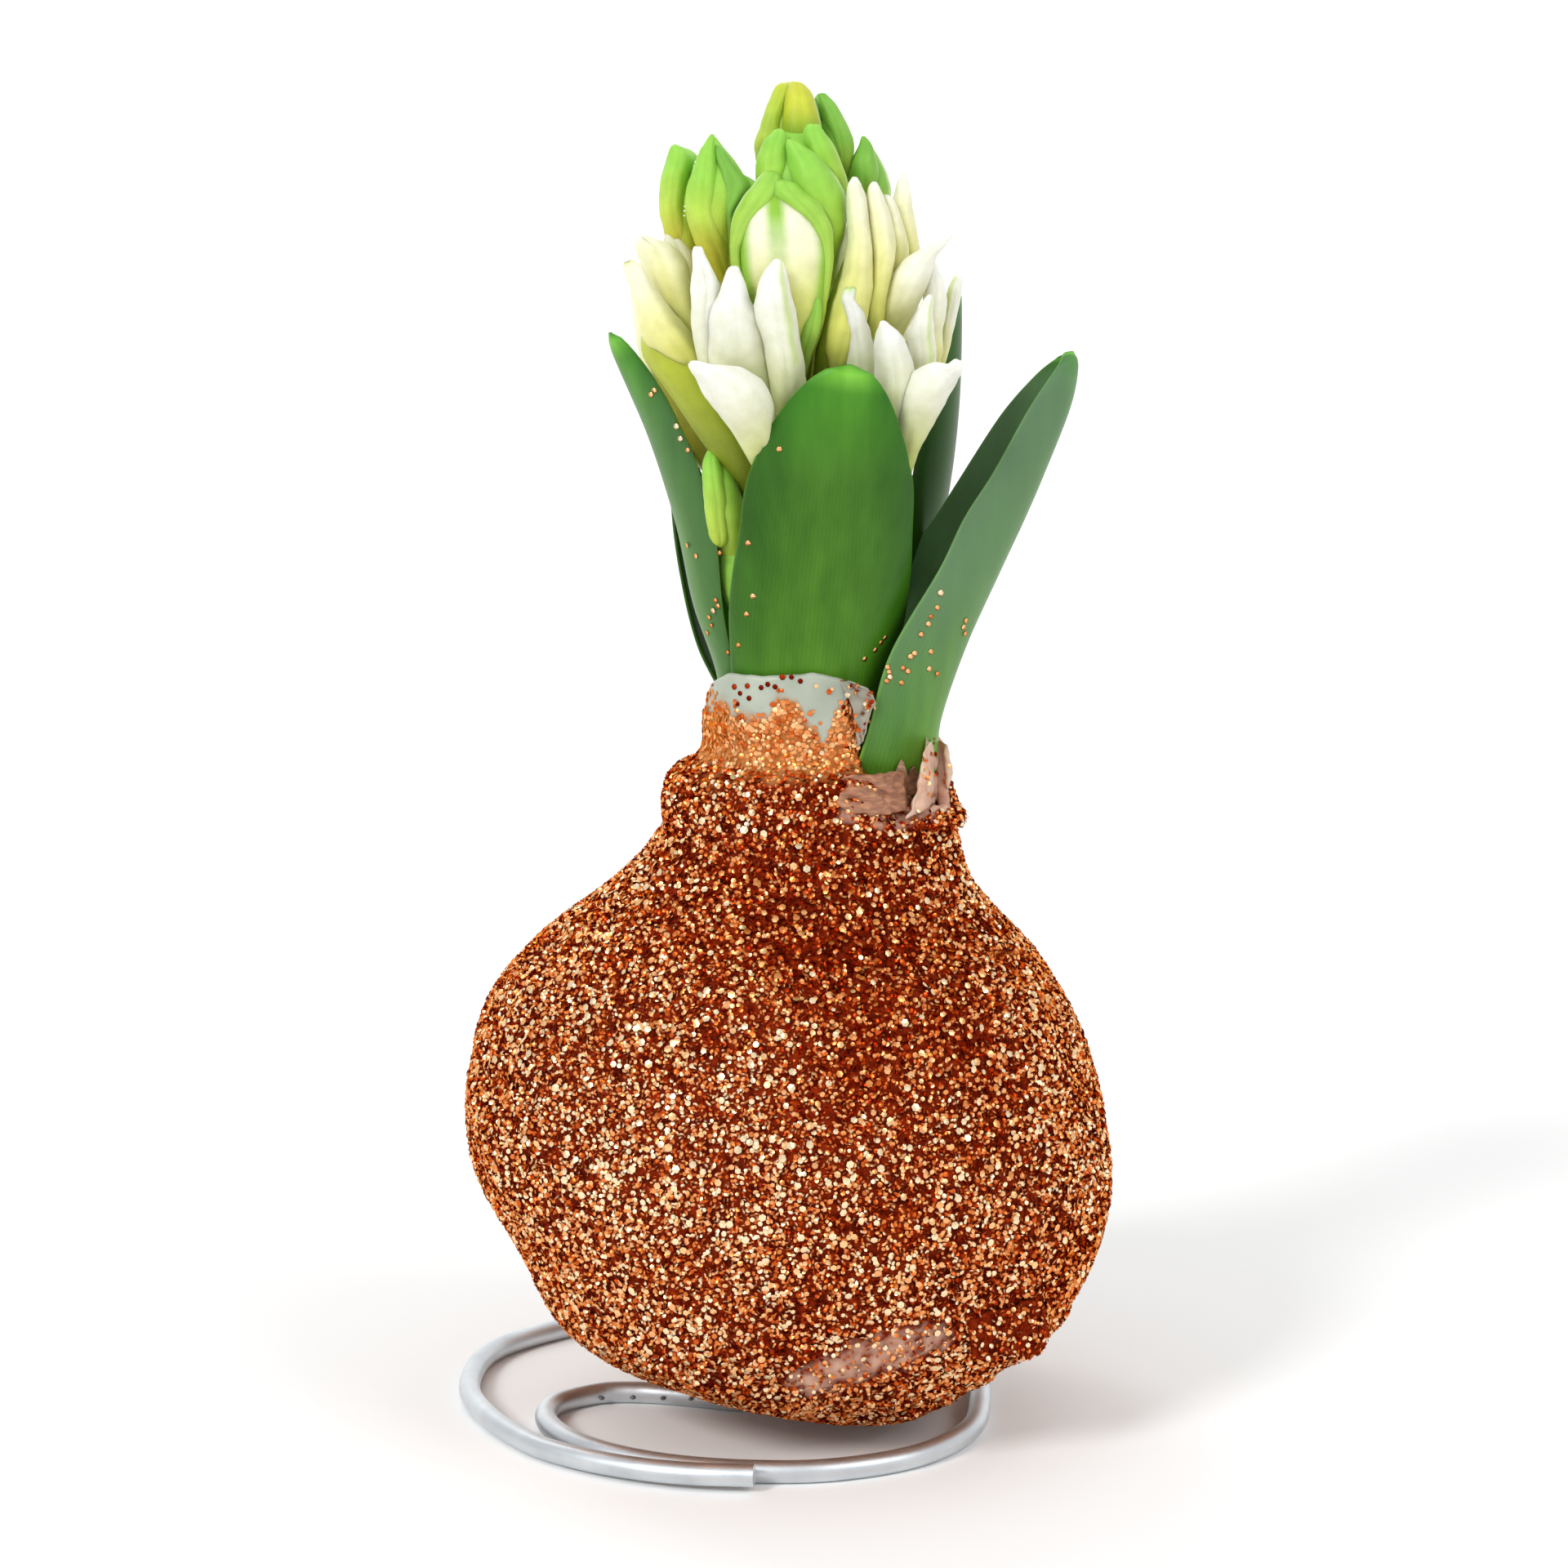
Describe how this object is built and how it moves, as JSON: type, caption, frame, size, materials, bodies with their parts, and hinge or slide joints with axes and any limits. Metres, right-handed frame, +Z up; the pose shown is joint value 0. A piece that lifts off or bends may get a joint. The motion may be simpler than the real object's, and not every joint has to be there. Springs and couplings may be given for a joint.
{
  "type": "hyacinth flower",
  "caption": "Hyacinth in flower on its wax-dipped, copper-glittered bulb, with a dense head of white florets and green buds, strap leaves and a bent-wire stand.",
  "frame": {"origin": "middle of the object's plan, on the surface that the wire stand rests on", "axes": "+Z up along the flower stem, -Y towards the viewer, +X to the right; the wire's free end is at the front"},
  "size_m": [0.0776, 0.0754, 0.1564],
  "materials": {
    "aluminium": "satin",
    "wax": "glitter",
    "bulb": "matte",
    "tunic": "papery",
    "leaf": "satin",
    "stem": "satin",
    "white_petal": "waxy",
    "cream_petal": "waxy",
    "bud": "waxy"
  },
  "bodies": {
    "root": {"wire_stand": "aluminium", "wax_coat": "wax", "hyacinth_bulb": "bulb", "bulb_tunic": "tunic", "leaf_front": "leaf", "leaf_left": "leaf", "leaf_right": "leaf", "leaf_right_back": "leaf", "leaf_back": "leaf", "leaf_left_back": "leaf", "flower_stem": "stem", "floret_white_front_left": "white_petal", "floret_white_front_right": "white_petal", "floret_white_back_right": "white_petal", "floret_white_back_left": "white_petal", "floret_cream_left": "cream_petal", "floret_cream_right": "cream_petal", "floret_cream_front_right": "cream_petal", "floret_cream_back_right": "cream_petal", "floret_cream_back_left": "cream_petal", "bud_striped_front": "bud", "bud_green_front": "bud", "bud_green_left_front": "bud", "bud_green_left": "bud", "bud_green_right_back": "bud", "bud_green_back": "bud", "bud_green_back_left": "bud", "bud_apex": "bud", "bud_apex_right": "bud", "bud_small_left": "bud", "bud_small_left_low": "bud", "bud_small_front": "bud", "bud_small_right": "bud", "bud_small_back": "bud"}
  },
  "joints": []
}
